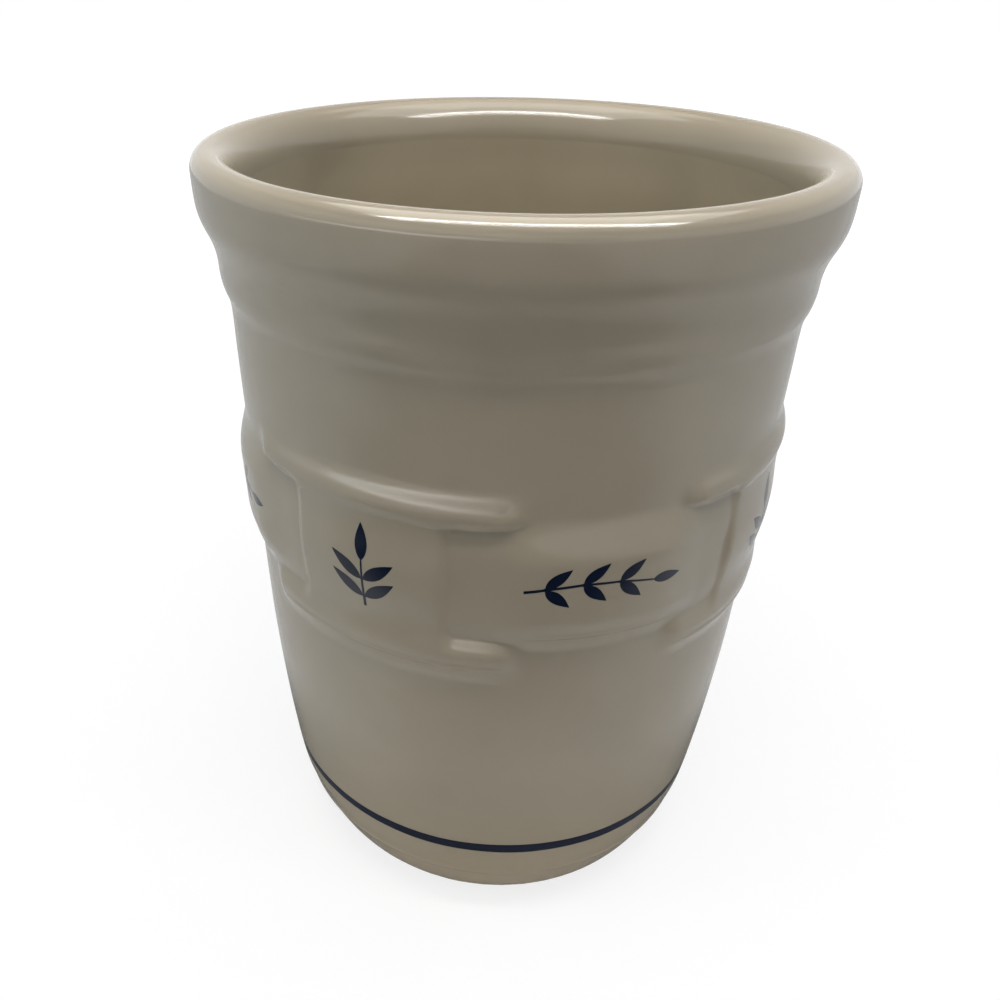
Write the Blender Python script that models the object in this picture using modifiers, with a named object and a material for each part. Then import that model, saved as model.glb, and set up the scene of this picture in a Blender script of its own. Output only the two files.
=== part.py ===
"""A stoneware crock with a woven relief band: the clay body, its two glazes, and its painted marks.

Metres, +Z up. The crock stands on its foot ring at z = 0 with its axis on Z, and its front faces -Y.
Each piece is drawn with an upright of the weave at the front, and the whole is then turned a little.
"""

import math

import bmesh
import bpy
from mathutils import Vector

# The outer wall, from the floor to the crest, as stretches that stack: each has its rise and how far it spreads.
FOOT_RADIUS = 0.0432
FOOT_RISE = 0.0028
FOOT_SPREAD = 0.0032
BEVEL_RISE = 0.0118
BEVEL_SPREAD = 0.0064
HEEL_RISE = 0.0054
HEEL_SPREAD = 0.0016
LOWER_WALL_RISE = 0.0595
LOWER_WALL_SPREAD = 0.0062
UPPER_WALL_RISE = 0.0193
UPPER_WALL_SPREAD = 0.0008
STEP_RISE = 0.0067
STEP_SPREAD = 0.0019
COLLAR_RISE = 0.0045
COLLAR_SPREAD = 0.0003
FLARE_RISE = 0.011
FLARE_SPREAD = 0.0036
RIM_SIDE_RISE = 0.0067
RIM_SIDE_SPREAD = 0.0004
RIM_ROUND_RISE = 0.0038
RIM_ROUND_INSET = 0.0036
BEVEL_BOW_SHARE = 0.033
LOWER_WALL_BOW_SHARE = 0.014

# The lip inside the crest, the cavity and the foot.
LIP_RISE = 0.010
LIP_INSET = 0.0061
WALL_THICKNESS = 0.006
FLOOR_THICKNESS = 0.0085
CORNER_ROUND = 0.012
FOOT_RING_WIDTH = 0.0058
FOOT_EDGE_ROUND = 0.0006
RECESS_DEPTH = 0.0025

# The coats and the paint, with the clearance that parts them.
GLAZE_THICKNESS = 0.0005
PAINT_THICKNESS = 0.0003
SEAT_GAP = 0.0003

# The woven band: two rows of rails with a row of panels between them, and its four repeats.
REPEATS = 4
LOWER_RAIL_RISE = 0.014
PANEL_RISE = 0.025
UPPER_RAIL_RISE = 0.0095
BAND_SPREAD = 0.0027
RAIL_PROUD = 0.0017
UPRIGHT_PROUD = 0.0021
LONG_PROUD = 0.0023
LONG_TUCK = 0.0009
LONG_FOOT_OVERLAP = 0.005
LONG_HEAD_OVERLAP = 0.0038
FRONT_TURN = math.radians(-25.5)
UPRIGHT_SHARE = 0.362
UPRIGHT_EDGE_SHARE = 0.042
UPRIGHT_TUCK_SHARE = 0.61
UPRIGHT_SWELL_SHARE = 0.42
UPRIGHT_DROP_SHARE = 0.50
RAIL_FULL_SHARE = 0.56
RAIL_END_SHARE = 0.70
LONG_FULL_SHARE = 0.25
LONG_FALL_SHARE = 0.52
LOWER_RAIL_CREST_SHARE = 0.61
UPPER_RAIL_CREST_SHARE = 0.30
LONG_FOOT_SHARE = 0.30
LONG_HEAD_SHARE = 0.325

# The painted stripe and the leaf sprays.
STRIPE_HEIGHT = 0.0248
STRIPE_RISE = 0.0029
SPRIG_STEM_LENGTH = 0.0119
SPRIG_TAIL = 0.0026
SPRIG_LEAF_LENGTH = 0.0088
SPRIG_LEAF_WIDTH = 0.0029
SPRIG_LEAN = math.radians(54)
SPRIG_SPACING_SHARE = 1.30
BRANCH_STEM_LENGTH = 0.027
BRANCH_TAIL = 0.0042
BRANCH_LEAF_LENGTH = 0.0066
BRANCH_LEAF_WIDTH = 0.0025
BRANCH_LEAN = math.radians(40)
BRANCH_SPACING_SHARE = 1.95
BRANCH_ARCH_SHARE = 0.055
STEM_WIDTH = 0.0009
LEAF_OUTLINE_SHARES = ((0.07, 0.30), (0.3, 0.88), (0.55, 1.0), (0.8, 0.66))
WRAP_CUT = 0.0045

# How finely the round pieces are turned.
SEGMENTS_A_REPEAT = 14
SEGMENTS = SEGMENTS_A_REPEAT * REPEATS
BEVEL_STEPS = 3
LOWER_WALL_STEPS = 4
SHOULDER_STEPS = 3
FLARE_STEPS = 3
RIM_STEPS = 3
LIP_STEPS = 4
CORNER_STEPS = 3
BELLY_STEPS = 2
SCREW_MERGE = 0.00001
SAME_DIGITS = 6
SHARP_ANGLE = math.radians(40)
STATION_SHARES = (
    0.0,
    UPRIGHT_SHARE / 2,
    UPRIGHT_SHARE - UPRIGHT_EDGE_SHARE,
    UPRIGHT_SHARE + UPRIGHT_EDGE_SHARE,
    RAIL_FULL_SHARE,
    RAIL_END_SHARE,
    (RAIL_END_SHARE + 1) / 2,
    1.0,
)
LOWER_RAIL_ROW_SHARES = (0.30, LOWER_RAIL_CREST_SHARE, 0.80, 1.0)
PANEL_ROW_SHARES = (0.13, 0.27, 0.50, 0.72, 0.87)
UPPER_RAIL_ROW_SHARES = (0.0, UPPER_RAIL_CREST_SHARE, 0.63, 1.0)

CREAM = (0.32, 0.276, 0.185, 1.0)
LINER_CREAM = (0.31, 0.266, 0.175, 1.0)
BISQUE = (0.31, 0.265, 0.19, 1.0)
NAVY = (0.009, 0.019, 0.048, 1.0)


def ease(share):
    """A soft start and end between 0 and 1."""
    share = min(max(share, 0.0), 1.0)
    return share * share * (3 - 2 * share)


def mix(low, high, share):
    return low + (high - low) * share


def bowed(start, end, bow_share, steps):
    """Points after the start, up to the end, bowed outwards at the middle by a share of the length."""
    along = end - start
    outwards = Vector((along.y, -along.x)) * bow_share
    shares = [step / steps for step in range(1, steps + 1)]
    return [start.lerp(end, share) + outwards * (4 * share * (1 - share)) for share in shares]


def eased(start, end, steps):
    """A soft step: level with its neighbours at both ends."""
    shares = [step / steps for step in range(1, steps + 1)]
    return [Vector((mix(start.x, end.x, ease(share)), mix(start.y, end.y, share))) for share in shares]


def rounded(centre, radii, first_degrees, last_degrees, steps):
    """Points on an ellipse about a centre, after the first angle."""
    angles = [math.radians(mix(first_degrees, last_degrees, step / steps)) for step in range(1, steps + 1)]
    return [centre + Vector((radii[0] * math.cos(angle), radii[1] * math.sin(angle))) for angle in angles]


def stacked(point, spread, rise):
    return point + Vector((spread, rise))


FOOT = Vector((FOOT_RADIUS, 0.0))
GLAZE_LINE = stacked(FOOT, FOOT_SPREAD, FOOT_RISE)
CREASE = stacked(GLAZE_LINE, BEVEL_SPREAD, BEVEL_RISE)
HEEL_TOP = stacked(CREASE, HEEL_SPREAD, HEEL_RISE)
BAND_FOOT = stacked(HEEL_TOP, LOWER_WALL_SPREAD, LOWER_WALL_RISE)
BAND_RISE = LOWER_RAIL_RISE + PANEL_RISE + UPPER_RAIL_RISE
BAND_TOP = stacked(BAND_FOOT, BAND_SPREAD, BAND_RISE)
STEP_FOOT = stacked(BAND_TOP, UPPER_WALL_SPREAD, UPPER_WALL_RISE)
COLLAR_FOOT = stacked(STEP_FOOT, STEP_SPREAD, STEP_RISE)
FLARE_FOOT = stacked(COLLAR_FOOT, COLLAR_SPREAD, COLLAR_RISE)
RIM_FOOT = stacked(FLARE_FOOT, FLARE_SPREAD, FLARE_RISE)
RIM_WIDEST = stacked(RIM_FOOT, RIM_SIDE_SPREAD, RIM_SIDE_RISE)
CREST = stacked(RIM_WIDEST, -RIM_ROUND_INSET, RIM_ROUND_RISE)
LIP_END = stacked(CREST, -LIP_INSET, -LIP_RISE)
PANEL_FOOT_HEIGHT = BAND_FOOT.y + LOWER_RAIL_RISE
PANEL_TOP_HEIGHT = PANEL_FOOT_HEIGHT + PANEL_RISE
PANEL_MIDDLE_HEIGHT = (PANEL_FOOT_HEIGHT + PANEL_TOP_HEIGHT) / 2
HALF_PITCH = math.pi / REPEATS


def band_rows():
    """Where the wall's rings lie in the band, closest where the weave bends most."""
    heights = [BAND_FOOT.y + share * LOWER_RAIL_RISE for share in LOWER_RAIL_ROW_SHARES]
    heights += [PANEL_FOOT_HEIGHT + share * PANEL_RISE for share in PANEL_ROW_SHARES]
    heights += [PANEL_TOP_HEIGHT + share * UPPER_RAIL_RISE for share in UPPER_RAIL_ROW_SHARES]
    return [BAND_FOOT.lerp(BAND_TOP, (height - BAND_FOOT.y) / BAND_RISE) for height in heights]


def outer_wall():
    """The glazed outside without its weave, from the glaze line up to the crest and down to the lip's end."""
    rim_centre = Vector((CREST.x, RIM_WIDEST.y))
    lip_centre = Vector((CREST.x, LIP_END.y))
    start = GLAZE_LINE + (CREASE - GLAZE_LINE).normalized() * SEAT_GAP
    wall = [start] + bowed(start, CREASE, BEVEL_BOW_SHARE, BEVEL_STEPS)
    wall += [HEEL_TOP]
    wall += bowed(HEEL_TOP, BAND_FOOT, LOWER_WALL_BOW_SHARE, LOWER_WALL_STEPS)
    wall += band_rows()
    wall += [STEP_FOOT]
    wall += eased(STEP_FOOT, COLLAR_FOOT, SHOULDER_STEPS)
    wall += [FLARE_FOOT]
    wall += eased(FLARE_FOOT, RIM_FOOT, FLARE_STEPS)
    wall += [RIM_WIDEST]
    wall += rounded(rim_centre, (RIM_ROUND_INSET, RIM_ROUND_RISE), 0, 90, RIM_STEPS)
    wall += rounded(lip_centre, (LIP_INSET, LIP_RISE), 90, 180, LIP_STEPS)
    return wall


def inner_wall():
    """The glazed inside, from just under the lip's end down to the middle of the floor."""
    floor_height = RECESS_DEPTH + FLOOR_THICKNESS
    corner_top = floor_height + CORNER_ROUND
    lean_share = (corner_top - HEEL_TOP.y) / (BAND_FOOT.y - HEEL_TOP.y)
    corner_radius = mix(HEEL_TOP.x, BAND_FOOT.x, lean_share) - WALL_THICKNESS
    corner_centre = Vector((corner_radius - CORNER_ROUND, corner_top))
    shoulder = STEP_FOOT - Vector((WALL_THICKNESS, 0.0))
    waist = BAND_FOOT - Vector((WALL_THICKNESS, 0.0))
    start = LIP_END - Vector((0.0, SEAT_GAP))
    corner = Vector((corner_radius, corner_top))
    belly = bowed(corner, waist, LOWER_WALL_BOW_SHARE, BELLY_STEPS)[-2::-1]
    wall = [start, shoulder, waist, *belly, corner]
    wall += rounded(corner_centre, (CORNER_ROUND, CORNER_ROUND), 0, -90, CORNER_STEPS)
    return wall + [Vector((0.0, floor_height))]


def offset(points, distance):
    """A line beside this one, on its left as it runs, at a square distance."""
    moved = []
    for index, point in enumerate(points):
        before = points[max(index - 1, 0)]
        after = points[min(index + 1, len(points) - 1)]
        arriving = (point - before).normalized()
        leaving = (after - point).normalized()
        along = (arriving + leaving).normalized()
        turn = max(along.dot(arriving), along.dot(leaving))
        moved.append(point + Vector((-along.y, along.x)) * (distance / turn))
    return moved


def rail(height_share, crest_share, crest, tucked):
    """One rail's cross-section, from the wall at 0, over its crest, to its tucked inner edge at 1."""
    if height_share < crest_share:
        return crest * ease(height_share / crest_share)
    return mix(crest, tucked, ease((height_share - crest_share) / (1 - crest_share)))


def across_upright(turn):
    """How far an angle lies from the nearest upright's middle, 1 being a long panel's middle."""
    return abs((turn + HALF_PITCH) % (2 * HALF_PITCH) - HALF_PITCH) / HALF_PITCH


def weave(turn, height):
    """How far the weave stands out of the wall at an angle from an upright's middle and at a height."""
    if not BAND_FOOT.y < height < BAND_TOP.y:
        return 0.0
    across_share = across_upright(turn)
    edge_share = (UPRIGHT_SHARE + UPRIGHT_EDGE_SHARE - across_share) / (2 * UPRIGHT_EDGE_SHARE)
    upright = UPRIGHT_PROUD * ease(edge_share)
    tucked = upright * UPRIGHT_TUCK_SHARE
    crest = RAIL_PROUD * ease((RAIL_END_SHARE - across_share) / (RAIL_END_SHARE - RAIL_FULL_SHARE))
    if height < PANEL_FOOT_HEIGHT:
        over = rail((height - BAND_FOOT.y) / LOWER_RAIL_RISE, LOWER_RAIL_CREST_SHARE, crest, tucked)
    elif height > PANEL_TOP_HEIGHT:
        over = rail((BAND_TOP.y - height) / UPPER_RAIL_RISE, 1 - UPPER_RAIL_CREST_SHARE, crest, tucked)
    else:
        up_share = (height - PANEL_FOOT_HEIGHT) / PANEL_RISE
        swell = ease(up_share / UPRIGHT_SWELL_SHARE) - ease((up_share - UPRIGHT_DROP_SHARE) / UPRIGHT_SWELL_SHARE)
        over = mix(tucked, upright, swell)

    long_rise = LONG_FOOT_OVERLAP + PANEL_RISE + LONG_HEAD_OVERLAP
    long_share = (height - PANEL_FOOT_HEIGHT + LONG_FOOT_OVERLAP) / long_rise
    from_middle_share = 1 - across_share
    fall = ease((from_middle_share - LONG_FULL_SHARE) / (LONG_FALL_SHARE - LONG_FULL_SHARE))
    section = ease(long_share / LONG_FOOT_SHARE) * ease((1 - long_share) / LONG_HEAD_SHARE)
    return max(over, mix(LONG_PROUD, LONG_TUCK, fall) * section)


def surface_radius(turn, height):
    """The glazed outside's radius on the panels' row, weave included."""
    return mix(BAND_FOOT.x, BAND_TOP.x, (height - BAND_FOOT.y) / BAND_RISE) + weave(turn, height)


def material(name, colour, roughness):
    made = bpy.data.materials.new(name)
    made.use_nodes = True
    shader = made.node_tree.nodes["Principled BSDF"]
    shader.inputs["Base Color"].default_value = colour
    shader.inputs["Roughness"].default_value = roughness
    shader.inputs["Metallic"].default_value = 0.0
    return made


def placed(name, mesh, finish, turn=0.0):
    """The piece, under the empty that turns the whole crock."""
    mesh.materials.clear()
    mesh.materials.append(finish)
    piece = bpy.data.objects.new(name, mesh)
    piece.rotation_euler.z = turn
    piece.parent = crock_turn
    crock.objects.link(piece)
    return piece


def turned(name, section, closed):
    """A mesh turned about Z from its section, which runs down its outer side."""
    bm = bmesh.new()
    corners = [bm.verts.new((point.x, 0.0, point.y)) for point in section]
    pairs = list(zip(corners, corners[1:]))
    if closed:
        pairs.append((corners[-1], corners[0]))
    for pair in pairs:
        bm.edges.new(pair)
    profile = bpy.data.meshes.new(name + "_profile")
    bm.to_mesh(profile)
    bm.free()
    blank = bpy.data.objects.new(name + "_blank", profile)
    crock.objects.link(blank)
    screw = blank.modifiers.new("Turn", "SCREW")
    screw.steps = screw.render_steps = SEGMENTS
    screw.use_merge_vertices = True
    screw.merge_threshold = SCREW_MERGE
    screw.use_normal_calculate = True
    graph = bpy.context.evaluated_depsgraph_get()
    mesh = bpy.data.meshes.new_from_object(blank.evaluated_get(graph))
    mesh.name = name
    bpy.data.objects.remove(blank)
    return mesh


def station_turn(segment):
    """The angle of one ring point, gathered towards the weave's edges."""
    repeat, step = divmod(segment, SEGMENTS_A_REPEAT)
    half = SEGMENTS_A_REPEAT // 2
    mirrored = step > half
    share = STATION_SHARES[SEGMENTS_A_REPEAT - step if mirrored else step]
    turn = (2 - share if mirrored else share) * HALF_PITCH
    return repeat * 2 * HALF_PITCH + turn


def pressed(mesh, woven_from=None):
    """Gathers a turned mesh's ring points, and pushes its outside out into the weave."""
    bm = bmesh.new()
    bm.from_mesh(mesh)
    turns = {}
    woven = set()
    for corner in bm.verts:
        point = corner.co
        radius = math.hypot(point.x, point.y)
        segment = round(math.atan2(point.y, point.x) / math.tau * SEGMENTS) % SEGMENTS
        turn = turns[corner] = station_turn(segment)
        if woven_from is not None and radius > woven_from(point.z):
            radius += weave(turn, point.z)
            woven.add(corner)
        corner.co = (radius * math.sin(turn), -radius * math.cos(turn), point.z)
    for face in [face for face in bm.faces if woven.issuperset(face.verts)]:
        near_low, _, _, far_high = sorted(
            face.verts, key=lambda corner: (round(across_upright(turns[corner]), SAME_DIGITS), corner.co.z)
        )
        bmesh.utils.face_split(face, near_low, far_high)
    bm.to_mesh(mesh)
    bm.free()
    mesh.shade_smooth()
    mesh.set_sharp_from_angle(angle=SHARP_ANGLE)
    return mesh


def mid_wall(height):
    """Halfway through the clay wall, which parts its outside from its inside."""
    return mix(BAND_FOOT.x, BAND_TOP.x, (height - BAND_FOOT.y) / BAND_RISE) - WALL_THICKNESS / 2


def make_stoneware_body():
    """The fired clay: foot ring, recess, floor, wall and rim, bare where no glaze lies."""
    under_glaze = GLAZE_THICKNESS + SEAT_GAP
    outside = offset([GLAZE_LINE] + outer_wall()[1:], under_glaze)
    inside = offset(inner_wall(), under_glaze)
    outside[-1] = LIP_END + Vector((under_glaze, 0.0))
    inside[-1] = Vector((0.0, inner_wall()[-1].y - under_glaze))
    ring_inner = FOOT.x - FOOT_RING_WIDTH
    foot = [
        GLAZE_LINE,
        FOOT + Vector((0.0, FOOT_EDGE_ROUND)),
        FOOT - Vector((FOOT_EDGE_ROUND, 0.0)),
        Vector((ring_inner, 0.0)),
        Vector((ring_inner - RECESS_DEPTH, RECESS_DEPTH)),
        Vector((0.0, RECESS_DEPTH)),
    ]
    section = list(reversed(inside)) + list(reversed(outside)) + foot
    body = pressed(turned("stoneware_body", section, False), mid_wall)
    placed("stoneware_body", body, material("bare_stoneware", BISQUE, 0.8))


def make_outer_glaze():
    """The coat on the outside, over the crest and just inside the lip."""
    outside = outer_wall()
    backs = offset(outside, GLAZE_THICKNESS)
    backs[-1] = LIP_END + Vector((GLAZE_THICKNESS, 0.0))
    section = list(reversed(outside)) + backs
    coat = pressed(turned("outer_glaze_coat", section, True), mid_wall)
    placed("outer_glaze_coat", coat, material("cream_glaze", CREAM, 0.12))


def make_liner_glaze():
    """The coat poured inside, from under the lip to the floor."""
    inside = inner_wall()
    backs = offset(inside, GLAZE_THICKNESS)
    backs[-1] = Vector((0.0, inside[-1].y - GLAZE_THICKNESS))
    section = list(reversed(inside)) + backs
    coat = pressed(turned("liner_glaze_coat", section, False))
    placed("liner_glaze_coat", coat, material("liner_glaze", LINER_CREAM, 0.15))


def make_base_stripe():
    """The painted line round the heel."""
    rise_share = (STRIPE_HEIGHT - HEEL_TOP.y) / LOWER_WALL_RISE
    top_share = (STRIPE_HEIGHT + STRIPE_RISE - HEEL_TOP.y) / LOWER_WALL_RISE
    along = BAND_FOOT - HEEL_TOP
    bow = Vector((along.y, -along.x)) * LOWER_WALL_BOW_SHARE
    seats = [
        HEEL_TOP + along * share + bow * (4 * share * (1 - share))
        for share in (rise_share, top_share)
    ]
    back = offset(seats, -SEAT_GAP)
    front = offset(seats, -SEAT_GAP - PAINT_THICKNESS)
    stripe = pressed(turned("base_stripe", list(reversed(front)) + back, True))
    placed("base_stripe", stripe, material("stripe_paint", NAVY, 0.15))


def leaf(base, direction, length, width):
    """A leaf's outline from one side of its base, by its tip, to the other side."""
    across = Vector((-direction.y, direction.x))
    sides = [
        (base + direction * (length * along), across * (width / 2 * half))
        for along, half in LEAF_OUTLINE_SHARES
    ]
    return (
        [point - half for point, half in sides]
        + [base + direction * length]
        + [point + half for point, half in reversed(sides)]
    )


def spray_outline(stem_length, tail, leaf_length, leaf_width, lean, spacing_share, arch_share=0.0):
    """A stem with pairs of leaves and a leaf at its end, drawn along +X about the middle of its length."""
    pairs = round((stem_length - tail) * math.sin(lean) / (leaf_width * spacing_share))
    spacing = (stem_length - tail) / pairs
    middle = (stem_length + leaf_length) / 2

    def stem(along):
        share = along / stem_length
        return Vector((along - middle, 4 * share * (1 - share) * arch_share * stem_length))

    half_stem = Vector((0.0, STEM_WIDTH / 2))
    lower = [stem(0.0) - half_stem]
    upper = [stem(0.0) + half_stem]
    for pair in range(pairs):
        root = stem(tail + pair * spacing)
        for side, outline in ((-1, lower), (1, upper)):
            direction = Vector((math.cos(lean), side * math.sin(lean)))
            petal = leaf(root + half_stem * side, direction, leaf_length, leaf_width)
            outline.extend(petal if side < 0 else reversed(petal))
    end = leaf(stem(stem_length), Vector((1.0, 0.0)), leaf_length, leaf_width)
    return lower + end + list(reversed(upper))


def make_spray(name, outline, centre_turn):
    """The spray as one thin skin that lies just off the glaze and follows it."""
    bm = bmesh.new()
    corners = [bm.verts.new((point.x, point.y, SEAT_GAP)) for point in outline]
    flat = bm.faces.new(corners)
    grown = bmesh.ops.extrude_face_region(bm, geom=[flat])["geom"]
    raised = [item for item in grown if isinstance(item, bmesh.types.BMVert)]
    bmesh.ops.translate(bm, verts=raised, vec=(0.0, 0.0, PAINT_THICKNESS))
    for normal in (Vector((1.0, 0.0, 0.0)), Vector((0.0, 1.0, 0.0))):
        reach = max(abs(corner.co.dot(normal)) for corner in bm.verts)
        cuts = math.ceil(reach / WRAP_CUT)
        for cut in range(1 - cuts, cuts):
            everything = bm.verts[:] + bm.edges[:] + bm.faces[:]
            bmesh.ops.bisect_plane(
                bm, geom=everything, dist=SCREW_MERGE, plane_co=normal * (cut * WRAP_CUT), plane_no=normal
            )
    bmesh.ops.triangulate(bm, faces=bm.faces, quad_method="BEAUTY", ngon_method="EAR_CLIP")
    bmesh.ops.recalc_face_normals(bm, faces=bm.faces)
    for corner in bm.verts:
        height = PANEL_MIDDLE_HEIGHT + corner.co.y
        turn = centre_turn + corner.co.x / surface_radius(centre_turn, PANEL_MIDDLE_HEIGHT)
        radius = surface_radius(turn, height) + corner.co.z
        corner.co = (radius * math.sin(turn), -radius * math.cos(turn), height)
    mesh = bpy.data.meshes.new(name)
    bm.to_mesh(mesh)
    bm.free()
    return mesh


def make_painted_sprays():
    """An upright sprig on each small panel, and a branch along each long one."""
    paint = material("spray_paint", NAVY, 0.15)
    sprig_outline = spray_outline(
        SPRIG_STEM_LENGTH, SPRIG_TAIL, SPRIG_LEAF_LENGTH, SPRIG_LEAF_WIDTH, SPRIG_LEAN, SPRIG_SPACING_SHARE
    )
    branch_outline = spray_outline(
        BRANCH_STEM_LENGTH, BRANCH_TAIL, BRANCH_LEAF_LENGTH, BRANCH_LEAF_WIDTH, BRANCH_LEAN,
        BRANCH_SPACING_SHARE, BRANCH_ARCH_SHARE,
    )
    upright_outline = [Vector((-point.y, point.x)) for point in sprig_outline]
    sprig = make_spray("sprig", upright_outline, 0.0)
    branch = make_spray("branch", branch_outline, HALF_PITCH)
    for repeat in range(REPEATS):
        turn = repeat * 2 * HALF_PITCH
        placed(f"painted_sprig_{repeat + 1}", sprig, paint, turn)
        placed(f"painted_branch_{repeat + 1}", branch, paint, turn)


for old in list(bpy.data.objects):
    bpy.data.objects.remove(old, do_unlink=True)

crock = bpy.data.collections.new("stoneware_crock")
bpy.context.scene.collection.children.link(crock)
crock_turn = bpy.data.objects.new("crock_turn", None)
crock_turn.rotation_euler.z = FRONT_TURN
crock.objects.link(crock_turn)

make_stoneware_body()
make_outer_glaze()
make_liner_glaze()
make_base_stripe()
make_painted_sprays()
print(f"crock {CREST.y * 1000:.1f} mm tall, {RIM_WIDEST.x * 2000:.1f} mm across the rim")
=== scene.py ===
"""The look of a glazed stoneware crock: glaze, liner, painted marks, bare foot, studio light and camera.

Metres, +Z up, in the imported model's frame. Angles round the crock run from the front, -Y, towards +X.
"""

import functools
import math

import bmesh
import bpy
from mathutils import Matrix, Vector


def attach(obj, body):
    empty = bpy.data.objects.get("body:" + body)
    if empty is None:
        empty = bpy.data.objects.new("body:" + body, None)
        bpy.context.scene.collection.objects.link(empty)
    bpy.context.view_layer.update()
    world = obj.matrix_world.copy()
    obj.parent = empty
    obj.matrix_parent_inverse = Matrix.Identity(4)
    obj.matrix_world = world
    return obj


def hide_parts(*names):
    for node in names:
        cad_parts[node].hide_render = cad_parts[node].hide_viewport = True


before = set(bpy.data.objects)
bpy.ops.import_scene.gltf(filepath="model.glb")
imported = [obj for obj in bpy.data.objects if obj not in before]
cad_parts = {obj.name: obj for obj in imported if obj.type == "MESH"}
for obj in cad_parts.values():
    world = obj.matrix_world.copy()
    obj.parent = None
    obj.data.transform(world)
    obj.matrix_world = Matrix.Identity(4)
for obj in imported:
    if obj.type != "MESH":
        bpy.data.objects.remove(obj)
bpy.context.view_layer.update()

MM = 0.001

# The turned wall under its weave, as heights and radii in millimetres.
OUTER_WALL = (
    (2.8, 46.35), (4.2, 47.45), (5.5, 48.30), (8.0, 49.68), (10.5, 50.86), (12.6, 51.82), (13.9, 52.42),
    (14.5, 52.78), (14.9, 52.90), (15.5, 52.98), (16.4, 53.24), (18.0, 53.78), (20.0, 54.38), (26.0, 55.45),
    (36.0, 56.85), (50.0, 58.42), (64.0, 59.68), (77.0, 60.47), (90.0, 61.19), (110.0, 62.29), (130.0, 63.38),
    (138.0, 63.74), (145.5, 64.05), (148.0, 64.28), (150.0, 64.75), (152.0, 65.50), (154.0, 65.93),
    (158.0, 66.27), (160.0, 66.62), (162.0, 67.18), (164.0, 67.97), (166.0, 68.88), (168.0, 69.56),
    (170.0, 69.92), (173.0, 70.15), (176.2, 70.29),
)
INNER_WALL = (
    (23.0, 49.10), (36.0, 51.05), (50.0, 52.65), (64.0, 53.75), (77.0, 54.60), (110.0, 56.25),
    (147.0, 58.10), (158.0, 59.20), (165.0, 60.15), (170.0, 60.60),
)

# The rim and the inside's lower corner, as radii and heights in millimetres.
RIM_SIDE = (70.29, 176.2)
CREST = (66.7, 180.0)
LIP_END = (60.6, 170.0)
CORNER_ROUND = 12.0
CORNER_TOP = 23.0

# The woven band, in millimetres and in shares of half a repeat.
REPEATS = 4
HALF_PITCH = math.pi / REPEATS
FRONT_TURN = math.radians(-25.5)
BAND_FOOT = 79.5
LOWER_RAIL_RISE = 14.0
PANEL_RISE = 25.0
UPPER_RAIL_RISE = 9.5
PANEL_FOOT = BAND_FOOT + LOWER_RAIL_RISE
PANEL_TOP = PANEL_FOOT + PANEL_RISE
BAND_TOP = PANEL_TOP + UPPER_RAIL_RISE
PANEL_MIDDLE = (PANEL_FOOT + PANEL_TOP) / 2
RAIL_PROUD = 1.7
UPRIGHT_PROUD = 2.1
LONG_PROUD = 2.3
LONG_TUCK = 0.9
LONG_FOOT_OVERLAP = 5.0
LONG_HEAD_OVERLAP = 3.8
UPRIGHT_SHARE = 0.362
UPRIGHT_EDGE_SHARE = 0.042
UPRIGHT_TUCK_SHARE = 0.61
UPRIGHT_SWELL_SHARE = 0.42
UPRIGHT_DROP_SHARE = 0.50
RAIL_FULL_SHARE = 0.56
RAIL_END_SHARE = 0.70
LONG_FULL_SHARE = 0.25
LONG_FALL_SHARE = 0.52
LOWER_RAIL_CREST_SHARE = 0.61
UPPER_RAIL_CREST_SHARE = 0.30
LONG_FOOT_SHARE = 0.30
LONG_HEAD_SHARE = 0.325

# The fine ridges that the mould leaves along the weave: height, half width and rise in millimetres, and the
# shares of half a repeat where each fades in and out.
MOULD_RIDGES = (
    (84.8, 0.60, 0.32, (-0.2, -0.1, 0.50, 0.62)),
    (93.5, 0.70, 0.26, (0.66, 0.74, 1.1, 1.2)),
    (119.2, 0.65, 0.26, (0.24, 0.32, 0.48, 0.58)),
)
# How many times further a ridge runs out above its top than below it.
RIDGE_UPPER_SIDE = 2.6

# How fine the meshes are. A full turn is made as this many equal sectors.
SECTORS = 8
# How many columns each stretch of half a repeat has, up to each share.
HALF_REPEAT_STEPS = ((12, 0.30), (13, 0.43), (20, 1.0))
# Where each stretch of the outer glaze starts, and about how far apart its rows are, in millimetres.
GLAZE_ROWS = (
    (2.8, 0.9), (13.6, 0.2), (16.4, 0.9), (22.0, 2.6), (BAND_FOOT, 0.6), (84.0, 0.15), (86.6, 0.3),
    (95.8, 0.8), (117.0, 0.3), (121.0, 0.6), (BAND_TOP, 2.2), (145.5, 0.6), (158.0, 0.8), (170.0, 1.6),
)
RIM_STEPS = 12
LIP_STEPS = 16
LINER_COLUMNS = 224
LINER_ROW_SPACING = 2.2
LINER_CORNER_STEPS = 14
LINER_FLOOR_SHARES = (0.8, 0.6, 0.4, 0.2, 0.0)
STRIPE_COLUMNS = 480
STRIPE_ROWS = 6
LEAF_STEPS = 12

# The rolled edge where the outer glaze ends above the foot, in millimetres out and up from the wall's first
# point, and how far the glaze runs down inside past the lip.
GLAZE_EDGE = ((-0.65, 0.45), (-0.4, 0.1), (-0.18, -0.06))
LIP_LAP = 0.6

# The painted stripe, in millimetres. Its line drifts and swells in waves round the crock, each kind with its
# rise, its count and its start.
STRIPE_FOOT = 24.8
STRIPE_RISE = 2.9
STRIPE_DRIFT = ((0.05, 3, 1.0), (0.04, 8, 0.0), (0.03, 17, 2.0))
STRIPE_SWELL = ((0.05, 5, 0.6), (0.03, 13, 0.0))
PAINT_LIFT = 0.025

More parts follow.
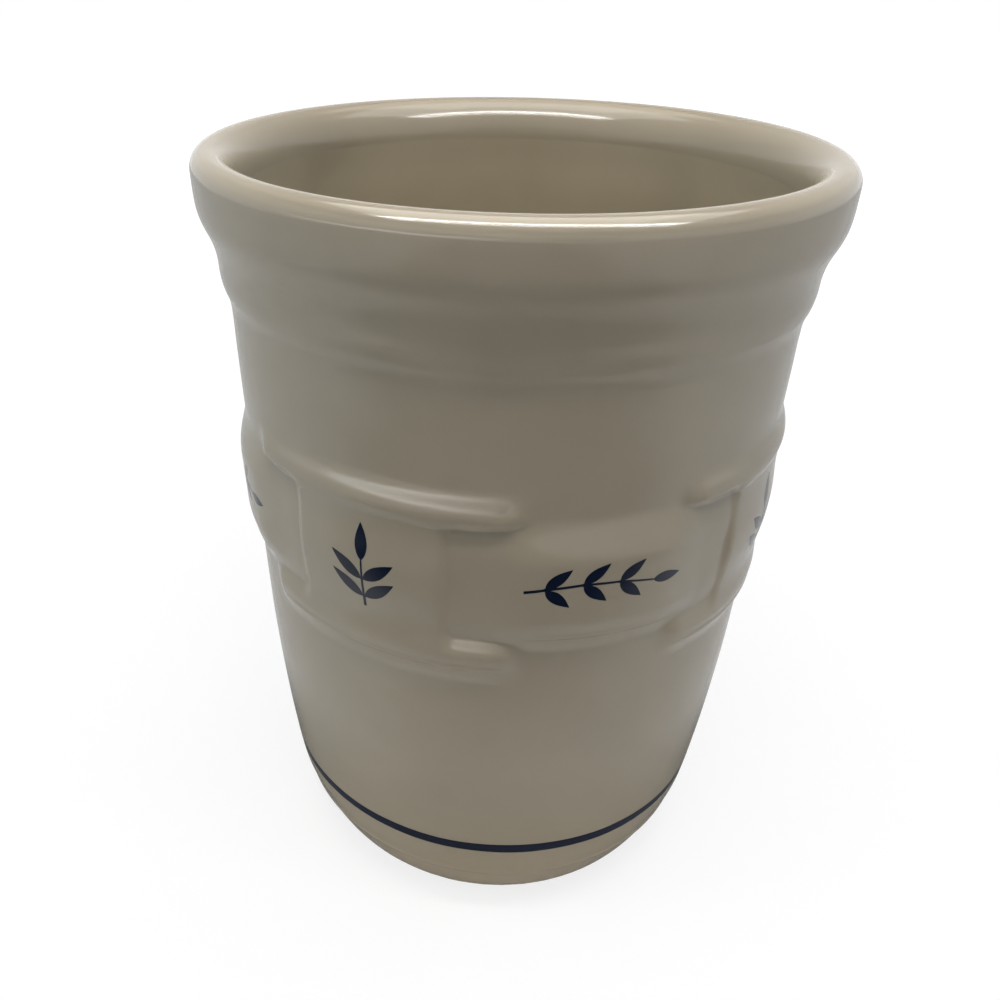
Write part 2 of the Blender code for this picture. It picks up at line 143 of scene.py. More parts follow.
# The painted sprays, in millimetres. The stem's half width goes from the first number to the second.
STEM_HALF_WIDTHS = (0.34, 0.22)
LEAF_HALF_FOOT = 0.14
LEAF_ROOT_GAP = 0.45
LAST_LEAF_GAP = 0.3
SPRIG = {
    "stem_length": 11.9, "tail": 2.6, "length": 8.8, "width": 2.9, "lean": math.radians(54),
    "spacing_share": 1.30, "arch_share": 0.0,
}
BRANCH = {
    "stem_length": 27.0, "tail": 4.2, "length": 6.6, "width": 2.5, "lean": math.radians(40),
    "spacing_share": 1.95, "arch_share": 0.055,
}

# The darker and the paler colour of each finish, and the cloud's tones at which they lie.
IVORY = ((0.332, 0.287, 0.203), (0.366, 0.318, 0.228))
LINER = ((0.332, 0.287, 0.197), (0.366, 0.318, 0.222))
NAVY = ((0.004, 0.008, 0.020), (0.007, 0.013, 0.033))
CLAY = ((0.27, 0.235, 0.165), (0.34, 0.295, 0.21))
IRON_SPECK = (0.10, 0.06, 0.03, 1.0)
WHITE = (1.0, 1.0, 1.0, 1.0)
GLAZE_TONES = (0.3, 0.7)
CLAY_TONES = (0.3, 0.75)

# Each soft noise as its scale to the metre, its detail and its roughness, and how high it stands in the glaze.
RIPPLE, RIPPLE_HEIGHT = (130.0, 2.0, 0.5), 0.45
SWELL, SWELL_HEIGHT = (38.0, 1.0, 0.5), 1.3
GRAIN, GRAIN_HEIGHT = (700.0, 2.0, 0.6), 0.09
GLAZE_CLOUD = (24.0, 3.0, 0.6)
CLAY_GRAIN = (900.0, 4.0, 0.7)
CLAY_CLOUD = (45.0, 3.0, 0.6)
CLAY_CLOUD_SHARE, CLAY_GRAIN_SHARE = 0.6, 0.4
BUMP_DEPTH = 0.0002
GLAZE_BUMP, CLAY_BUMP = 0.3, 0.5
GLAZE_ROUGHNESS, GLAZE_ROUGHNESS_SPREAD = 0.10, 0.05
CLAY_ROUGHNESS = 0.75
GLAZE_IOR = 1.5

# The iron specks: cells to the metre, the tone over which a cell has one, how it grows with the tone, and how
# far it hides the glaze.
SPECK_SCALE = 75.0
SPECK_TONE = 0.93
SPECK_SIZE = 0.5
SPECK_STRENGTH = 0.75

# The photograph's camera, in pixels of the photograph, and in metres and radians.
PHOTO_SIDE = 1000.0
FOCAL_LENGTH = 999.62
VIEW_MIDDLE = (426.848, 455.763)
SENSOR_WIDTH = 36.0
CAMERA_PLACE = (0.0, -0.2250373, 0.2181154)
CAMERA_TILT = 0.4754
CAMERA_PAN = -0.0863
CAMERA_ROLL = 0.0083
NEAREST_SEEN = 0.005

# The studio, in metres. The lamps over the crock's front hang at one height, a little right of its middle.
LAMP_AIM = (0.0, 0.0, 0.1)
FRONT_LAMPS_ACROSS = 0.03
FRONT_LAMPS_HEIGHT = 0.41
FRONT_LAMPS_WIDTH = 0.40
DAYLIGHT = (0.62, 0.74, 1.0, 1.0)
DAYLIGHT_STRENGTH = 0.31
TABLE_GREY = (0.7, 0.7, 0.7, 1.0)
TABLE_SHADED = (0.25, 0.25, 0.25, 1.0)
# Warm light that the table gives off itself near the foot: a painted glow on the crock's lower wall.
TABLE_PAINTED_GLOW = (1.0, 0.90, 0.79, 1.0)
TABLE_HALF_SIZE = 3.0
CARD_HALF_SIZE = 1.2
CARD_LIFT = 0.001
# A glowing sheet in front that only the glaze's reflections see, shaped like a window: it paints highlights
# along the weave's upper slopes and dims the room's white reflected in the middle.
WINDOW_PLACE = (-3.0, -1.6, 0.30)
WINDOW_HALF_SIZE = (4.4, 0.25)
PAINTED_HIGHLIGHT_STRENGTH = 3.8

# Each fade of the studio: from where to where it runs, in metres, and its strength at the two ends.
# The table's painted glow near the foot, which lights the crock's lower wall, fades out over this reach.
PAINTED_GLOW_FADE = (0.05, 0.20, 0.55, 0.0)
TABLE_FADE = (0.15, 0.9, 0.78, 0.98)
# The sheet over the table is a painted reflection: its grey glow near the foot, and the dark patch it paints
# in front, show in the glaze alone.
CARD_FADE = (0.065, 0.10, 0.12, 0.58)
CARD_AHEAD_FADE = (-0.16, -0.08, 1.0, 0.0)
CARD_SIDE_FADE = (0.18, 0.30, 1.0, 0.0)
# The soft edges of the painted highlight on the window-shaped sheet.
WINDOW_RIGHT_FADE = (-0.75, 0.3, 1.0, 0.0)
WINDOW_FOOT_FADE = (0.06, 0.12, 0.0, 1.0)
WINDOW_HEAD_FADE = (0.18, 0.34, 1.0, 0.0)
# The sheet's glow beside its bright patch: dimmer in the middle, a painted darker reflection of the room.
ROOM_REFLECTION_FADE = (0.6, 1.3, 0.35, 1.0)


def ease(share):
    """A share kept from 0 to 1, with soft ends."""
    share = min(max(share, 0.0), 1.0)
    return share * share * (3 - 2 * share)


def mix(low, high, share):
    """The number at a share of the way from low to high."""
    return low + (high - low) * share


@functools.lru_cache(maxsize=None)
def along(wall, height):
    """The radius at a height on a smooth line through the wall's points."""
    height = min(max(height, wall[0][0]), wall[-1][0])
    place = next(index for index in range(1, len(wall)) if height <= wall[index][0])
    (z0, r0), (z1, r1) = wall[place - 1], wall[place]

    def slope(index):
        index = min(max(index, 1), len(wall) - 2)
        (z_below, r_below), (z_here, r_here), (z_above, r_above) = wall[index - 1:index + 2]
        before = (r_here - r_below) / (z_here - z_below)
        after = (r_above - r_here) / (z_above - z_here)
        return (before * (z_above - z_here) + after * (z_here - z_below)) / (z_above - z_below)

    span = z1 - z0
    t = (height - z0) / span
    return (
        (2 * t**3 - 3 * t**2 + 1) * r0 + (t**3 - 2 * t**2 + t) * span * slope(place - 1)
        + (3 * t**2 - 2 * t**3) * r1 + (t**3 - t**2) * span * slope(place)
    )


def rail(height_share, crest_share, crest, tucked):
    """One rail's cross-section, from the wall at 0, over its crest, to its tucked inner edge at 1."""
    if height_share < crest_share:
        return crest * ease(height_share / crest_share)
    return mix(crest, tucked, ease((height_share - crest_share) / (1 - crest_share)))


def ridges(across, height):
    """How much the fine mould ridges add to the weave."""
    added = 0.0
    for middle, half_width, rise, (dawn, start, end, dusk) in MOULD_RIDGES:
        reach = half_width * RIDGE_UPPER_SIDE if height > middle else half_width
        near = 1 - abs(height - middle) / reach
        if near > 0:
            begun = rise * ease(near) * ease((across - dawn) / (start - dawn))
            added += begun * ease((dusk - across) / (dusk - end))
    return added


def weave(turn, height):
    """How far the woven relief stands out of the wall, in millimetres."""
    if not BAND_FOOT < height < BAND_TOP:
        return 0.0
    across = abs((turn + HALF_PITCH) % (2 * HALF_PITCH) - HALF_PITCH) / HALF_PITCH
    on_upright = ease((UPRIGHT_SHARE + UPRIGHT_EDGE_SHARE - across) / (2 * UPRIGHT_EDGE_SHARE))
    tucked = UPRIGHT_PROUD * UPRIGHT_TUCK_SHARE * on_upright
    crest = RAIL_PROUD * ease((RAIL_END_SHARE - across) / (RAIL_END_SHARE - RAIL_FULL_SHARE))
    if height < PANEL_FOOT:
        over = rail((height - BAND_FOOT) / LOWER_RAIL_RISE, LOWER_RAIL_CREST_SHARE, crest, tucked)
    elif height > PANEL_TOP:
        over = rail((BAND_TOP - height) / UPPER_RAIL_RISE, 1 - UPPER_RAIL_CREST_SHARE, crest, tucked)
    else:
        up = (height - PANEL_FOOT) / PANEL_RISE
        swell = ease(up / UPRIGHT_SWELL_SHARE) - ease((up - UPRIGHT_DROP_SHARE) / UPRIGHT_SWELL_SHARE)
        over = UPRIGHT_PROUD * mix(UPRIGHT_TUCK_SHARE, 1.0, swell) * on_upright
    long_rise = PANEL_RISE + LONG_FOOT_OVERLAP + LONG_HEAD_OVERLAP
    long_share = (height - PANEL_FOOT + LONG_FOOT_OVERLAP) / long_rise
    fall = ease((1 - across - LONG_FULL_SHARE) / (LONG_FALL_SHARE - LONG_FULL_SHARE))
    section = ease(long_share / LONG_FOOT_SHARE) * ease((1 - long_share) / LONG_HEAD_SHARE)
    return max(over, mix(LONG_PROUD, LONG_TUCK, fall) * section) + ridges(across, height)


def on_crock(angle, radius, height):
    """A point at an angle from the front, from a radius and a height in millimetres."""
    return Vector((radius * math.sin(angle), -radius * math.cos(angle), height)) * MM


def glaze_point(turn, height, lift=0.0):
    """A point on the glazed outside at an angle from an upright's middle, in metres."""
    return on_crock(turn + FRONT_TURN, along(OUTER_WALL, height) + weave(turn, height) + lift, height)


def steps(low, high, spacing):
    """Heights from low up to just under high, about a spacing apart."""
    count = max(1, round((high - low) / spacing))
    return [mix(low, high, step / count) for step in range(count)]


def arc(centre, radii, first, last, count):
    """Points on an ellipse after its first angle, in degrees."""
    angles = [math.radians(mix(first, last, step / count)) for step in range(1, count + 1)]
    return [
        (centre[0] + radii[0] * math.cos(angle), centre[1] + radii[1] * math.sin(angle)) for angle in angles
    ]


def spun(profile, segments):
    """A bmesh turned about Z from a line of (radius, height) points in millimetres.

    One sector is spun and then copied round.
    """
    bm = bmesh.new()
    corners = [bm.verts.new((radius * MM, 0.0, height * MM)) for radius, height in profile]
    edges = [bm.edges.new(pair) for pair in zip(corners, corners[1:])]
    sector = math.tau / SECTORS
    bmesh.ops.spin(
        bm, geom=corners + edges, cent=(0, 0, 0), axis=(0, 0, 1), dvec=(0, 0, 0), angle=sector,
        space=Matrix.Identity(4), steps=segments // SECTORS,
        use_merge=False, use_normal_flip=False, use_duplicate=False,
    )
    first = bm.verts[:] + bm.edges[:] + bm.faces[:]
    for copy in range(1, SECTORS):
        made = bmesh.ops.duplicate(bm, geom=first)["geom"]
        points = [part for part in made if isinstance(part, bmesh.types.BMVert)]
        bmesh.ops.rotate(bm, verts=points, cent=(0, 0, 0), matrix=Matrix.Rotation(sector * copy, 3, "Z"))
    bmesh.ops.remove_doubles(bm, verts=bm.verts, dist=0.001 * MM)
    bmesh.ops.recalc_face_normals(bm, faces=bm.faces)
    return bm


def piece(name, bm, finish, node):
    """The finished piece, shown where its CAD node is hidden."""
    mesh = bpy.data.meshes.new(name)
    bm.to_mesh(mesh)
    bm.free()
    mesh.shade_smooth()
    mesh.materials.append(finish)
    made = bpy.data.objects.new(name, mesh)
    bpy.context.scene.collection.objects.link(made)
    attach(made, "root")
    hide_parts(node)
    return made


def half_repeat():
    """The shares of half a repeat at which the glaze's columns stand."""
    shares = [0.0]
    for count, last in HALF_REPEAT_STEPS:
        first = shares[-1]
        shares += [mix(first, last, step / count) for step in range(1, count + 1)]
    return shares


def column_turns():
    """The angle of every column round the crock, closest where the weave is sharp."""
    half = half_repeat()
    whole = [share * HALF_PITCH for share in half]
    whole += [(2 - share) * HALF_PITCH for share in reversed(half[1:-1])]
    return [turn + repeat * 2 * HALF_PITCH for repeat in range(REPEATS) for turn in whole]


class Value:
    """A shader number that takes ordinary arithmetic."""

    def __init__(self, finish, socket):
        self.finish, self.socket = finish, socket

    def reckon(self, operation, first, second):
        return self.finish.node("Math", {"operation": operation}, {0: first, 1: second})

    def __add__(self, other):
        return self.reckon("ADD", self, other)

    def __sub__(self, other):
        return self.reckon("SUBTRACT", self, other)

    def __rsub__(self, other):
        return self.reckon("SUBTRACT", other, self)

    def __mul__(self, other):
        return self.reckon("MULTIPLY", self, other)

    def __lt__(self, other):
        return self.reckon("LESS_THAN", self, other)

    def __abs__(self):
        return self.finish.node("Math", {"operation": "ABSOLUTE"}, {0: self})

    __radd__, __rmul__ = __add__, __mul__


class Finish:
    """A material or a world, with one way to make any of its nodes."""

    def __init__(self, name, tree=None):
        if tree is None:
            self.material = bpy.data.materials.new(name)
            self.material.use_nodes = True
            tree = self.material.node_tree
        self.tree = tree

    def node(self, kind, settings=None, sockets=None, out=0):
        made = self.tree.nodes.new("ShaderNode" + kind)
        for key, value in (settings or {}).items():
            if key == "stops":
                for stop, (place, colour) in zip(made.color_ramp.elements, value):
                    stop.position, stop.color = place, colour
            else:
                setattr(made, key, value)
        for key, value in (sockets or {}).items():
            self.feed(made.inputs[key], value)
        return Value(self, made.outputs[out])

    def feed(self, socket, value):
        if isinstance(value, Value):
            self.tree.links.new(value.socket, socket)
        else:
            socket.default_value = value

    def place(self):
        """Where a point lies on the piece, in metres."""
        return self.node("TexCoord", out="Object")

    def noise(self, place, kind):
        """One of the soft noises."""
        scale, detail, roughness = kind
        sockets = {"Vector": place, "Scale": scale, "Detail": detail, "Roughness": roughness}
        return self.node("TexNoise", {}, sockets)

    def ramp(self, tone, colours, tones):
        """The darker colour up to the first of two tones, and the paler one from the second."""
        stops = [(stop, (*colour, 1.0)) for stop, colour in zip(tones, colours)]
        return self.node("ValToRGB", {"stops": stops}, {"Fac": tone})

    def blend(self, share, first, second):
        """The first colour where the share is 0 and the second where it is 1."""
        return self.node("Mix", {"data_type": "RGBA"}, {0: share, 6: first, 7: second}, out=2)

    def fade(self, value, low, high, first, last, way="SMOOTHSTEP"):
        """A number that goes from first to last while the value goes from low to high."""
        sockets = {0: value, 1: low, 2: high, 3: first, 4: last}
        return self.node("MapRange", {"interpolation_type": way}, sockets)

    def glow(self, colour, strength):
        return self.node("Emission", {}, {"Color": colour, "Strength": strength})

    def shade(self, **sockets):
        """The material, with these sockets of its Principled shader set or fed."""
        shader = self.tree.nodes["Principled BSDF"]
        for key, value in sockets.items():
            self.feed(shader.inputs[key.replace("_", " ")], value)
        return self.material

    def cover(self, shader):
        """The material, with this shader in the place of its Principled one."""
        self.feed(self.tree.nodes["Material Output"].inputs["Surface"], shader)
        self.tree.nodes.remove(self.tree.nodes["Principled BSDF"])
        return self.material


def glaze_skin(finish, place):
    """The fired surface that runs over glaze and paint alike: a faint ripple and a slightly uneven gloss."""
    ripple, swell, grain, cloud = (finish.noise(place, kind) for kind in (RIPPLE, SWELL, GRAIN, GLAZE_CLOUD))
    height = ripple * RIPPLE_HEIGHT + swell * SWELL_HEIGHT + grain * GRAIN_HEIGHT
    bump = finish.node("Bump", {}, {"Strength": GLAZE_BUMP, "Distance": BUMP_DEPTH, "Height": height})
    roughness = cloud * GLAZE_ROUGHNESS_SPREAD + GLAZE_ROUGHNESS
    return cloud, {"Roughness": roughness, "Normal": bump, "IOR": GLAZE_IOR}


def ivory_glaze(name, colours):
    """Gloss ivory glaze with a faint mottle and the odd iron speck."""
    finish = Finish(name)
    place = finish.place()
    cloud, skin = glaze_skin(finish, place)
    colour = finish.ramp(cloud, colours, GLAZE_TONES)
    cells = {"feature": "F1"}, {"Vector": place, "Scale": SPECK_SCALE, "Randomness": 1.0}
    chance = finish.node("SeparateColor", {}, {"Color": finish.node("TexVoronoi", *cells, out="Color")})
    speck = finish.node("TexVoronoi", *cells) < (chance - SPECK_TONE) * SPECK_SIZE
    return finish.shade(Base_Color=finish.blend(speck * SPECK_STRENGTH, colour, IRON_SPECK), **skin)


def navy_paint():
    """Cobalt-navy colour under the same gloss, a little uneven as a brush leaves it."""
    finish = Finish("navy_paint")
    cloud, skin = glaze_skin(finish, finish.place())
    return finish.shade(Base_Color=finish.ramp(cloud, NAVY, GLAZE_TONES), **skin)


def bare_clay():
    """Fine matt stoneware where no glaze lies."""
    finish = Finish("bare_stoneware")
    place = finish.place()
    grain, cloud = (finish.noise(place, kind) for kind in (CLAY_GRAIN, CLAY_CLOUD))
    colour = finish.ramp(cloud * CLAY_CLOUD_SHARE + grain * CLAY_GRAIN_SHARE, CLAY, CLAY_TONES)
    bump = finish.node("Bump", {}, {"Strength": CLAY_BUMP, "Distance": BUMP_DEPTH, "Height": grain})
    return finish.shade(Base_Color=colour, Roughness=CLAY_ROUGHNESS, Normal=bump)


def make_outer_glaze(finish):
    """The glazed outside, from its edge above the foot up over the crest and down inside the lip."""
    starts = [low for low, spacing in GLAZE_ROWS] + [RIM_SIDE[1]]
    heights = [
        height for (low, spacing), high in zip(GLAZE_ROWS, starts[1:]) for height in steps(low, high, spacing)
    ]
    foot, edge = OUTER_WALL[0]
    profile = [(edge + across, foot + up) for across, up in GLAZE_EDGE]
    profile += [(along(OUTER_WALL, height), height) for height in heights] + [RIM_SIDE]
    crest, top = CREST
    profile += arc((crest, RIM_SIDE[1]), (RIM_SIDE[0] - crest, top - RIM_SIDE[1]), 0, 90, RIM_STEPS)
    profile += arc((crest, LIP_END[1]), (crest - LIP_END[0], top - LIP_END[1]), 90, 180, LIP_STEPS)
    profile += [(LIP_END[0], LIP_END[1] - LIP_LAP)]
    turns = column_turns()
    bm = spun(profile, len(turns))
    for corner in bm.verts:
        height = corner.co.z / MM
        turn = turns[round(math.atan2(corner.co.y, corner.co.x) / math.tau * len(turns)) % len(turns)]
        radius = math.hypot(corner.co.x, corner.co.y) / MM + weave(turn, height)
        corner.co = on_crock(turn + FRONT_TURN, radius, height)
    return piece("ivory_glaze_coat", bm, finish, "outer_glaze_coat")


def make_liner(finish):
    """The poured glaze inside, from under the lip to the middle of the floor."""
    heights = steps(CORNER_TOP, LIP_END[1], LINER_ROW_SPACING) + [LIP_END[1]]
    wall = [(along(INNER_WALL, height), height) for height in reversed(heights)]
    middle = (INNER_WALL[0][1] - CORNER_ROUND, CORNER_TOP)
    corner = arc(middle, (CORNER_ROUND, CORNER_ROUND), 0, -90, LINER_CORNER_STEPS)
    floor = [(corner[-1][0] * share, corner[-1][1]) for share in LINER_FLOOR_SHARES]
    bm = spun(wall + corner + floor, LINER_COLUMNS)
    bmesh.ops.reverse_faces(bm, faces=bm.faces)
    return piece("liner_glaze", bm, finish, "liner_glaze_coat")


def waves(parts, angle):
    """The sum of some waves round the crock."""
    return sum(rise * math.sin(count * angle + start) for rise, count, start in parts)


def make_stripe(finish):
    """The painted line round the heel, a little uneven along its edges."""
    heights = [STRIPE_FOOT + STRIPE_RISE * row / STRIPE_ROWS for row in range(STRIPE_ROWS + 1)]
    bm = spun([(along(OUTER_WALL, height) + PAINT_LIFT, height) for height in heights], STRIPE_COLUMNS)
    for corner in bm.verts:
        angle = math.atan2(corner.co.x, -corner.co.y)
        height = corner.co.z / MM
        up = (height - STRIPE_FOOT) / STRIPE_RISE
        height += waves(STRIPE_DRIFT, angle) + waves(STRIPE_SWELL, angle) * (2 * up - 1)
        corner.co = on_crock(angle, along(OUTER_WALL, height) + PAINT_LIFT, height)
    return piece("painted_base_stripe", bm, finish, "base_stripe")


def leaf(base, direction, length, width):
    """A leaf's outline from one side of its base, by its tip, to the other side."""
    across = Vector((-direction.y, direction.x))
    sides = []
    for step in range(LEAF_STEPS):
        share = step / LEAF_STEPS
        belly = math.sin(math.pi * share**0.8) ** 0.95 * (width / 2 - LEAF_HALF_FOOT / 2)
        half = LEAF_HALF_FOOT + belly - LEAF_HALF_FOOT * share
        sides.append((base + direction * (length * share), across * half))
    first = [point - half for point, half in sides]
    second = [point + half for point, half in reversed(sides)]
    return first + [base + direction * length] + second


def spray_outline(stem_length, tail, length, width, lean, spacing_share, arch_share):
    """A stem with pairs of leaves and one at its end, along +X about its own middle, in millimetres."""
    pairs = round((stem_length - tail) * math.sin(lean) / (width * spacing_share))
    spacing = (stem_length - tail) / pairs
    middle = (stem_length + length) / 2

    def stem(place):
        share = place / stem_length
        return Vector((place - middle, 4 * share * (1 - share) * arch_share * stem_length))

    def edge(place, side):
        return stem(place) + Vector((0.0, side * mix(*STEM_HALF_WIDTHS, place / stem_length)))

    lower, upper = [edge(0.0, -1)], [edge(0.0, 1)]
    for pair in range(pairs):
        root = tail + pair * spacing
        for side, outline in ((-1, lower), (1, upper)):
            direction = Vector((math.cos(lean), side * math.sin(lean)))
            petal = leaf(edge(root, side), direction, length, width)
            outline.append(edge(root - LEAF_ROOT_GAP, side))
            outline.extend(petal if side < 0 else reversed(petal))
            outline.append(edge(root + LEAF_ROOT_GAP, side))
    lower.append(edge(stem_length - LAST_LEAF_GAP, -1))
    upper.append(edge(stem_length - LAST_LEAF_GAP, 1))
    end = leaf(stem(stem_length), Vector((1.0, 0.0)), length, width)
    return lower + end + list(reversed(upper))


def make_spray(name, outline, centre_turn, finish, node):
    """The painted spray, wrapped onto the glaze."""
    bm = bmesh.new()
    bm.faces.new([bm.verts.new((point.x, point.y, 0.0)) for point in outline])
    for normal in (Vector((1.0, 0.0, 0.0)), Vector((0.0, 1.0, 0.0))):
        reach = math.ceil(max(abs(corner.co.dot(normal)) for corner in bm.verts))
        for cut in range(-reach, reach + 1):
            whole = bm.verts[:] + bm.edges[:] + bm.faces[:]
            bmesh.ops.bisect_plane(bm, geom=whole, dist=1e-4, plane_co=normal * cut, plane_no=normal)
    bmesh.ops.triangulate(bm, faces=bm.faces, quad_method="BEAUTY", ngon_method="EAR_CLIP")
    around = along(OUTER_WALL, PANEL_MIDDLE) + weave(centre_turn, PANEL_MIDDLE)
    for corner in bm.verts:
        corner.co = glaze_point(centre_turn + corner.co.x / around, PANEL_MIDDLE + corner.co.y, PAINT_LIFT)
    bm.normal_update()
    if sum(face.normal.dot(face.calc_center_median() * Vector((1, 1, 0))) for face in bm.faces) < 0:
        bmesh.ops.reverse_faces(bm, faces=bm.faces)
    return piece(name, bm, finish, node)


def make_sprays(finish):
    """An upright sprig on each upright panel and a lying branch on each long one."""
    sprig = [Vector((-point.y, point.x)) for point in spray_outline(**SPRIG)]
    branch = spray_outline(**BRANCH)
    for repeat in range(REPEATS):
        turn = repeat * 2 * HALF_PITCH
        number = repeat + 1
        next_turn = turn + HALF_PITCH
        for spray in (
            make_spray(f"leaf_sprig_{number}", sprig, turn, finish, f"painted_sprig_{number}"),
            make_spray(f"leaf_branch_{number}", branch, next_turn, finish, f"painted_branch_{number}"),
        ):
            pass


def set_camera():
    """The photograph's camera, close above the rim."""
    level = math.cos(CAMERA_TILT)
    forward = Vector((math.sin(CAMERA_PAN) * level, math.cos(CAMERA_PAN) * level, -math.sin(CAMERA_TILT)))
    right = Vector((math.cos(CAMERA_PAN), -math.sin(CAMERA_PAN), 0.0))
    up = right.cross(forward)
    across = right * math.cos(CAMERA_ROLL) + up * math.sin(CAMERA_ROLL)
    upright = up * math.cos(CAMERA_ROLL) - right * math.sin(CAMERA_ROLL)
    lens = bpy.data.cameras.new("photo_camera")
    lens.sensor_width = SENSOR_WIDTH
    lens.lens = FOCAL_LENGTH * SENSOR_WIDTH / PHOTO_SIDE
    lens.shift_x = (PHOTO_SIDE / 2 - VIEW_MIDDLE[0]) / PHOTO_SIDE
    lens.shift_y = (VIEW_MIDDLE[1] - PHOTO_SIDE / 2) / PHOTO_SIDE
    lens.clip_start = NEAREST_SEEN
    camera = bpy.data.objects.new("photo_camera", lens)
    turn = Matrix((across, upright, -forward)).transposed().to_4x4()
    camera.matrix_world = Matrix.Translation(CAMERA_PLACE) @ turn
    bpy.context.scene.collection.objects.link(camera)
    bpy.context.scene.camera = camera


def lamp(name, place, size, power, colour=WHITE[:3], aim=LAMP_AIM, shows=False, lights=True):
    """A rectangular lamp, which may show in the glaze and may light the crock."""
    light = bpy.data.lights.new(name, "AREA")
    light.shape = "RECTANGLE"
    light.size, light.size_y = size
    light.energy = power
    light.color = colour
    made = bpy.data.objects.new(name, light)
    made.location = place
    made.rotation_euler = (Vector(place) - Vector(aim)).to_track_quat("Z", "Y").to_euler()
    made.visible_camera = False
    made.visible_glossy = shows
    made.visible_diffuse = lights
    bpy.context.scene.collection.objects.link(made)


def front_lamp(name, back, depth, power, shows=False):
    """A lamp that shines straight down over the front. It shows in the glaze or else lights the crock."""
    place = (FRONT_LAMPS_ACROSS, back, FRONT_LAMPS_HEIGHT)
    below = (FRONT_LAMPS_ACROSS, back, 0.0)
    lamp(name, place, (FRONT_LAMPS_WIDTH, depth), power, aim=below, shows=shows, lights=not shows)


def seen_directly(finish):
    """1 for rays from the camera, off a gloss or through glass, and 0 for light on the object."""
    kinds = ("Is Camera Ray", "Is Glossy Ray", "Is Transmission Ray")
    camera, reflected, through = (finish.node("LightPath", out=kind) for kind in kinds)
    return finish.node("Clamp", {}, {0: camera + reflected + through})


def set_world():
    """A white room, whose cool daylight reaches the crock faintly."""
    world = bpy.data.worlds.new("studio")
    world.use_nodes = True
    bpy.context.scene.world = world
    finish = Finish("studio", world.node_tree)
    background = world.node_tree.nodes["Background"]
    seen = seen_directly(finish)
    finish.feed(background.inputs["Color"], finish.blend(seen, DAYLIGHT, WHITE))
    finish.feed(background.inputs["Strength"], seen * (1 - DAYLIGHT_STRENGTH) + DAYLIGHT_STRENGTH)


def staged_sheet(name, half_size, finish, place=Matrix.Identity(4), glaze_alone=False):
    """A flat sheet of the studio, which may be seen in the glaze alone."""
    bm = bmesh.new()
    bmesh.ops.create_grid(bm, x_segments=1, y_segments=1, size=half_size)
    bmesh.ops.transform(bm, matrix=place, verts=bm.verts)
    mesh = bpy.data.meshes.new(name)
    bm.to_mesh(mesh)
    bm.free()
    mesh.materials.append(finish)
    sheet = bpy.data.objects.new(name, mesh)
    if glaze_alone:
        sheet.visible_camera = sheet.visible_diffuse = sheet.visible_shadow = False
        sheet.visible_transmission = sheet.visible_volume_scatter = False
    bpy.context.scene.collection.objects.link(sheet)


def make_floor():
    """A pale table top that keeps the crock's soft shadow. Near the foot it gives off warm light of its own, a
    painted glow that brightens the crock's lower wall.
    """
    finish = Finish("table")
    reach = finish.node("VectorMath", {"operation": "LENGTH"}, {0: finish.place()}, out="Value")
    matt = finish.node("BsdfDiffuse", {}, {"Color": TABLE_GREY})
    # Painted glow: near the foot the table gives off warm light of its own, for the rays that light the crock.
    painted_glow = finish.glow(TABLE_PAINTED_GLOW, finish.fade(reach, *PAINTED_GLOW_FADE))
    lit = finish.node("AddShader", {}, {0: matt, 1: painted_glow})
    shaded = finish.node("BsdfDiffuse", {}, {"Color": TABLE_SHADED})
    white = finish.glow(WHITE, finish.fade(reach, *TABLE_FADE, way="LINEAR"))
    shown = finish.node("AddShader", {}, {0: shaded, 1: white})
    both = finish.node("MixShader", {}, {0: seen_directly(finish), 1: lit, 2: shown})
    staged_sheet("table", TABLE_HALF_SIZE, finish.cover(both))


def make_painted_reflection_card():
    """A sheet just over the table that only the glaze's reflections see, glowing grey and dark in front: a
    painted reflection that darkens what the glaze mirrors of the table.
    """
    finish = Finish("painted_reflection_card")
    place = finish.place()
    reach = finish.node("VectorMath", {"operation": "LENGTH"}, {0: place}, out="Value")
    across, forward = (finish.node("SeparateXYZ", {}, {0: place}, out=axis) for axis in "XY")
    grey = finish.fade(reach, *CARD_FADE)
    ahead = finish.fade(forward, *CARD_AHEAD_FADE)
    middle = finish.fade(abs(across), *CARD_SIDE_FADE)
    # Painted reflection: a grey glow with a dark patch in front, painted shade in the glaze's reflections.
    glow = finish.cover(finish.glow(WHITE, grey * (1 - ahead * middle)))
    lifted = Matrix.Translation((0.0, 0.0, CARD_LIFT))
    staged_sheet("painted_reflection_card", CARD_HALF_SIZE, glow, lifted, glaze_alone=True)


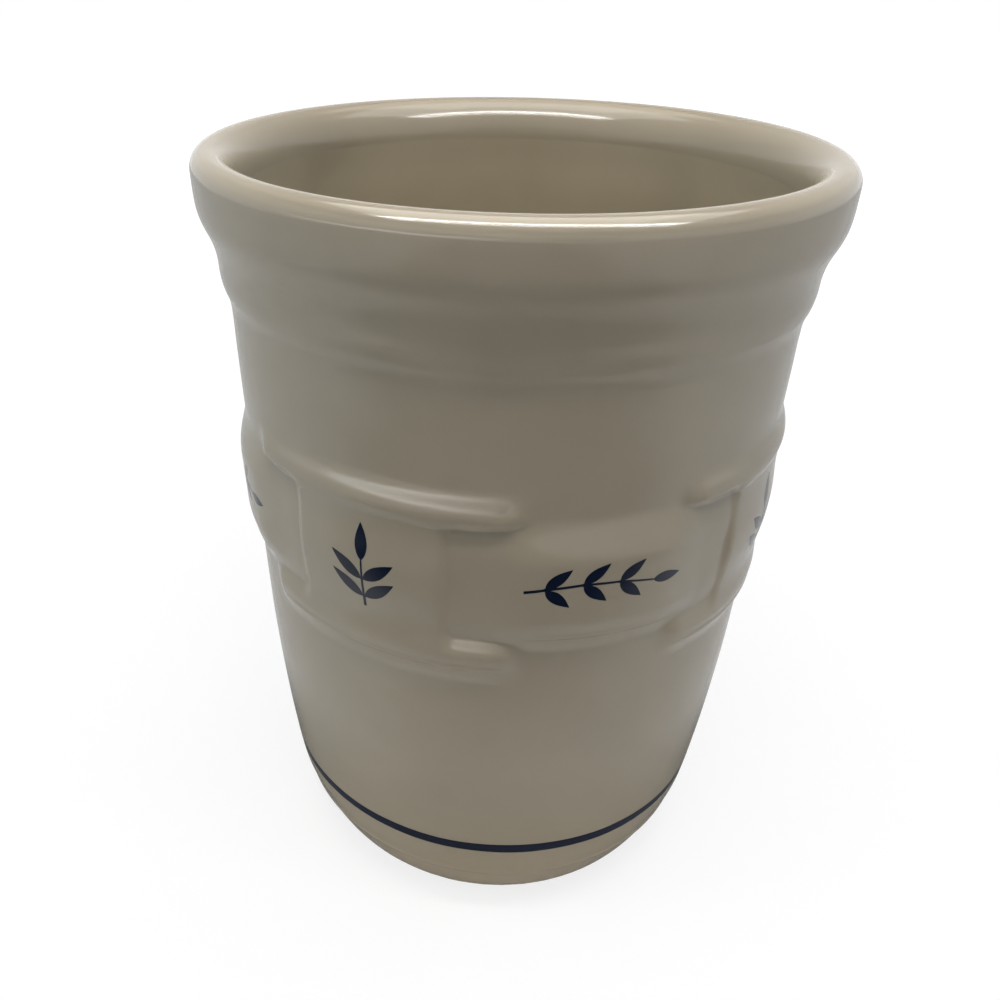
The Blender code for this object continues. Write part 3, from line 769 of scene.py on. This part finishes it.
def make_painted_window_reflection():
    """A tall sheet in front that only the glaze's reflections see, glowing brighter than the room's white and
    soft at its edges: painted highlights on the glaze, over a painted dimmer reflection of the room in the
    middle.
    """
    finish = Finish("painted_window_reflection")
    place = finish.place()
    across, up = (finish.node("SeparateXYZ", {}, {0: place}, out=axis) for axis in "XZ")
    right = finish.fade(across, *WINDOW_RIGHT_FADE)
    foot = finish.fade(up, *WINDOW_FOOT_FADE)
    head = finish.fade(up, *WINDOW_HEAD_FADE)
    room = finish.fade(abs(across), *ROOM_REFLECTION_FADE)
    # Painted highlight: a bright patch fading at its right end, foot and head, over a painted dimmer room in
    # the middle.
    glow = finish.cover(finish.glow(WHITE, right * foot * head * PAINTED_HIGHLIGHT_STRENGTH + room))
    upright = Matrix.Rotation(math.pi / 2, 4, "X") @ Matrix.Diagonal((*WINDOW_HALF_SIZE, 1, 1))
    staged_sheet("painted_window_reflection", 1.0, glow, Matrix.Translation(WINDOW_PLACE) @ upright, glaze_alone=True)


navy = navy_paint()
make_outer_glaze(ivory_glaze("ivory_glaze", IVORY))
make_liner(ivory_glaze("liner_glaze", LINER))
make_stripe(navy)
make_sprays(navy)
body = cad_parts["stoneware_body"]
body.material_slots[0].material = bare_clay()

set_camera()
set_world()
make_floor()
make_painted_reflection_card()
make_painted_window_reflection()
front_lamp("strip_over_rim", -0.128, 0.024, 0.95, shows=True)
front_lamp("strip_in_front", -0.168, 0.014, 0.40, shows=True)
front_lamp("panel_over_rim", -0.03, 0.24, 0.8, shows=True)
front_lamp("glow_over_rim", -0.128, 0.020, 0.42)
lamp("overhead_softbox", (0.0, 0.1, 0.95), (0.8, 0.8), 4.3, (0.96, 0.87, 0.72), shows=True)
lamp("front_softbox", (0.0, -0.36, 0.95), (0.4, 0.4), 2.3, (1.0, 0.86, 0.72))
lamp("left_softbox", (-0.95, 0.0, 0.2), (0.6, 0.6), 3.3, (0.70, 0.84, 1.0))
lamp("right_softbox", (0.87, 0.37, 0.2), (0.6, 0.6), 3.5, (0.64, 0.76, 1.0))

bpy.context.scene.view_settings.view_transform = "Standard"
